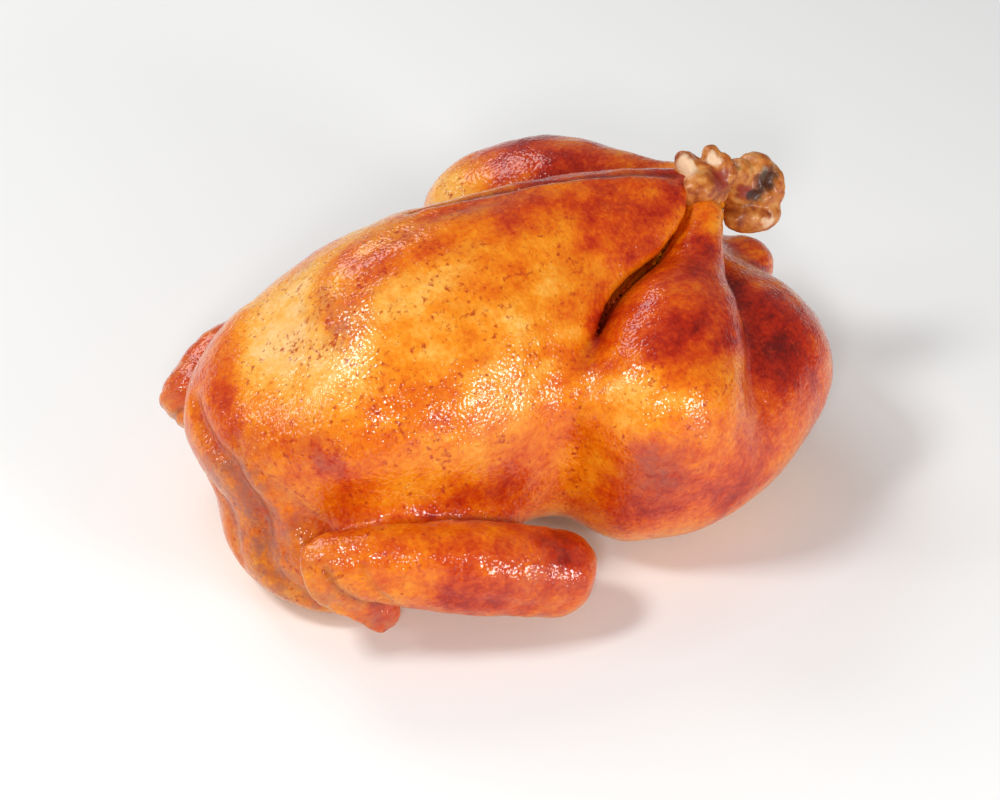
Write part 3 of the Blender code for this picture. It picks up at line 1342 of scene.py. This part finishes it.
    def relief(
        self,
        tree: bpy.types.NodeTree,
        place: bpy.types.NodeSocket,
        pore_depth: float,
        wrinkle_depth: float,
    ) -> bpy.types.NodeSocket:
        """Return the bumps of the pores over finer wrinkles.

        Args:
            tree: The material's node tree.
            place: The point on the skin.
            pore_depth: Depth of the pores in mm.
            wrinkle_depth: Depth of the wrinkles in mm.

        Returns:
            The socket of the bent normal.
        """
        pores = add_node(tree, "ShaderNodeTexVoronoi", {
            "Vector": place, "Scale": 1.0 / (self.pore_spacing * MM), "Randomness": 0.85,
        }, feature="SMOOTH_F1").outputs["Distance"]
        wrinkles = add_node(tree, "ShaderNodeTexNoise", {
            "Vector": place, "Scale": 1.0 / (self.wrinkle_size * MM), "Detail": 1.5,
            "Roughness": 0.5,
        }).outputs["Fac"]
        coarse = add_node(tree, "ShaderNodeBump", {
            "Height": wrinkles, "Strength": 1.0, "Distance": wrinkle_depth * MM,
        })
        return add_node(tree, "ShaderNodeBump", {
            "Height": pores, "Strength": 1.0, "Distance": pore_depth * MM,
            "Normal": coarse.outputs["Normal"],
        }, invert=True).outputs["Normal"]


@dataclass(frozen=True)
class BakedKnuckle:
    """Baked cartilage and bone with shreds of dark meat and a charred hollow.

    The eye sees a moist tan knob, wine-red meat in front and near-black char.
    """

    stains: tuple[tuple[float, str], ...] = (
        (0.28, "#7A3416"), (0.42, "#A8561E"), (0.56, "#C27632"), (0.74, "#D89C5C"),
    )
    grain_size: float = 4.2
    grain_depth: float = 0.4
    cartilage: str = "#E6C4A0"
    meat: str = "#8C2E22"
    char: str = "#30100A"

    def material(self) -> bpy.types.Material:
        """Make the knuckle's material.

        Returns:
            The new material.
        """
        material, tree = new_finish("baked_bone_and_cartilage")
        place = add_node(tree, "ShaderNodeTexCoord").outputs["Object"]
        grain = add_node(tree, "ShaderNodeTexNoise", {
            "Vector": place, "Scale": 1.0 / (self.grain_size * MM), "Detail": 3.0,
            "Roughness": 0.55,
        }).outputs["Fac"]
        stain = add_node(tree, "ShaderNodeValToRGB", {"Fac": grain})
        set_stops(stain.color_ramp, self.stains)
        colour = stain.outputs["Color"]
        for key, tone in (("pale", self.cartilage), ("meat", self.meat), ("char", self.char)):
            amount = add_node(tree, "ShaderNodeAttribute", attribute_name=key).outputs["Fac"]
            edge = add_node(tree, "ShaderNodeMapRange", {
                "Value": add_node(tree, "ShaderNodeMath", {0: grain, 1: 0.7, 2: amount},
                                  operation="MULTIPLY_ADD").outputs[0],
                "From Min": 0.55, "From Max": 1.15, "To Max": 0.92,
            }, interpolation_type="SMOOTHSTEP").outputs["Result"]
            colour = add_node(tree, "ShaderNodeMix", {
                "Factor": edge, 6: colour, 7: linear(tone),
            }, data_type="RGBA").outputs[2]
        bump = add_node(tree, "ShaderNodeBump", {
            "Height": grain, "Strength": 1.0, "Distance": self.grain_depth * MM,
        })
        shader = add_node(tree, "ShaderNodeBsdfPrincipled", {
            "Base Color": colour,
            "Roughness": 0.40,
            "IOR": 1.5,
            "Subsurface Weight": 0.08,
            "Subsurface Radius": (1.0, 0.4, 0.2),
            "Subsurface Scale": 0.002,
            "Specular IOR Level": 0.25,
            "Coat Weight": 0.20,
            "Coat Roughness": 0.20,
            "Normal": bump.outputs["Normal"],
        })
        add_node(tree, "ShaderNodeOutputMaterial", {"Surface": shader.outputs["BSDF"]})
        return material


@dataclass(frozen=True)
class StudioFloor:
    """Matt white board, which gives the eye a plain pale ground and a soft bounce."""

    white: str = "#F4F4F2"

    def material(self) -> bpy.types.Material:
        """Make the floor's material.

        Returns:
            The new material.
        """
        material, tree = new_finish("matt_white_board")
        shader = add_node(tree, "ShaderNodeBsdfPrincipled", {
            "Base Color": linear(self.white), "Roughness": 0.8,
        })
        add_node(tree, "ShaderNodeOutputMaterial", {"Surface": shader.outputs["BSDF"]})
        return material


# ---------------------------------------------------------------- studio


@dataclass(frozen=True)
class SoftBox:
    """A square lamp that faces the bird from a direction."""

    name: str
    toward: Triple
    away: float
    width: float
    power: float


@dataclass
class Studio:
    """The floor, the lamps, the soft sky and the camera."""

    aim: Triple = (7.3, 13.4, 19.6)
    azimuth_deg: float = -30.0
    elevation_deg: float = 38.0
    camera_away: float = 1.14
    lens_mm: float = 118.8
    sky: str = "#F4F6FA"
    sky_strength: float = 0.24
    lamps: tuple[SoftBox, ...] = (
        SoftBox("window_lamp", (-0.58, 0.08, 0.81), 1.2, 0.27, 6.4),
        SoftBox("side_lamp", (-0.84, 0.28, 0.46), 1.2, 0.22, 1.6),
        SoftBox("front_lamp", (0.30, -0.92, 0.24), 1.1, 0.27, 6.0),
        SoftBox("wing_card", (-0.45, -0.70, 0.52), 1.2, 0.14, 4.0),
        SoftBox("back_lamp", (-0.10, 0.76, 0.64), 1.3, 0.55, 4.8),
    )

    def build(self) -> None:
        """Set up the floor, lamps, sky and camera."""
        scene = bpy.context.scene
        scene.view_settings.view_transform = "Standard"
        self.add_floor()
        for lamp in self.lamps:
            self.add_lamp(lamp)
        world = bpy.data.worlds.new("studio_sky")
        world.use_nodes = True
        sky = world.node_tree.nodes["Background"]
        sky.inputs["Color"].default_value = linear(self.sky)
        sky.inputs["Strength"].default_value = self.sky_strength
        scene.world = world
        self.add_camera()

    def add_floor(self) -> None:
        """Add the pale floor under the bird."""
        mesh = bpy.data.meshes.new("floor")
        reach = 6.0
        corners = [(-reach, -reach, 0.0), (reach, -reach, 0.0), (reach, reach, 0.0),
                   (-reach, reach, 0.0)]
        mesh.from_pydata(corners, [], [(0, 1, 2, 3)])
        mesh.materials.append(StudioFloor().material())
        floor = bpy.data.objects.new("floor", mesh)
        floor.location.z = -0.0002
        bpy.context.scene.collection.objects.link(floor)

    def add_lamp(self, lamp: SoftBox) -> None:
        """Add one lamp, turned to the bird.

        Args:
            lamp: The lamp's name, direction, size and power.
        """
        light = bpy.data.lights.new(lamp.name, "AREA")
        light.shape = "SQUARE"
        light.size = lamp.width
        light.energy = lamp.power
        item = bpy.data.objects.new(lamp.name, light)
        toward = Vector(lamp.toward).normalized()
        item.location = toward * lamp.away + Vector((0.0, 0.0, 0.05))
        item.rotation_euler = toward.to_track_quat("Z", "Y").to_euler()
        bpy.context.scene.collection.objects.link(item)

    def add_camera(self) -> None:
        """Add the camera at its angle."""
        data = bpy.data.cameras.new("camera")
        data.lens = self.lens_mm
        data.sensor_width = 36.0
        data.clip_start = 0.05
        azimuth, elevation = math.radians(self.azimuth_deg), math.radians(self.elevation_deg)
        back = Vector((
            math.sin(azimuth) * math.cos(elevation),
            -math.cos(azimuth) * math.cos(elevation),
            math.sin(elevation),
        ))
        camera = bpy.data.objects.new("camera", data)
        camera.location = Vector(self.aim) * MM + back * self.camera_away
        camera.rotation_euler = back.to_track_quat("Z", "Y").to_euler()
        bpy.context.scene.collection.objects.link(camera)
        bpy.context.scene.camera = camera


def main() -> None:
    """Build the bird's pieces in order and set up the studio."""
    logging.basicConfig(level=logging.INFO, format="%(name)s: %(message)s")
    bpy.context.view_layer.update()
    Studio().build()

    body = Carcass().build().make("roasted_body")
    body.data.materials.append(RoastedSkin().material())
    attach(body, "root")
    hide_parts(CAD_NODE)
    LOG.info("roasted_body: %d faces", len(body.data.polygons))

    knuckles = LegEnds().build().make("leg_end_knuckles")
    knuckles.data.materials.append(BakedKnuckle().material())
    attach(knuckles, "root")
    LOG.info("leg_end_knuckles: %d faces", len(knuckles.data.polygons))


if __name__ == "__main__":
    main()
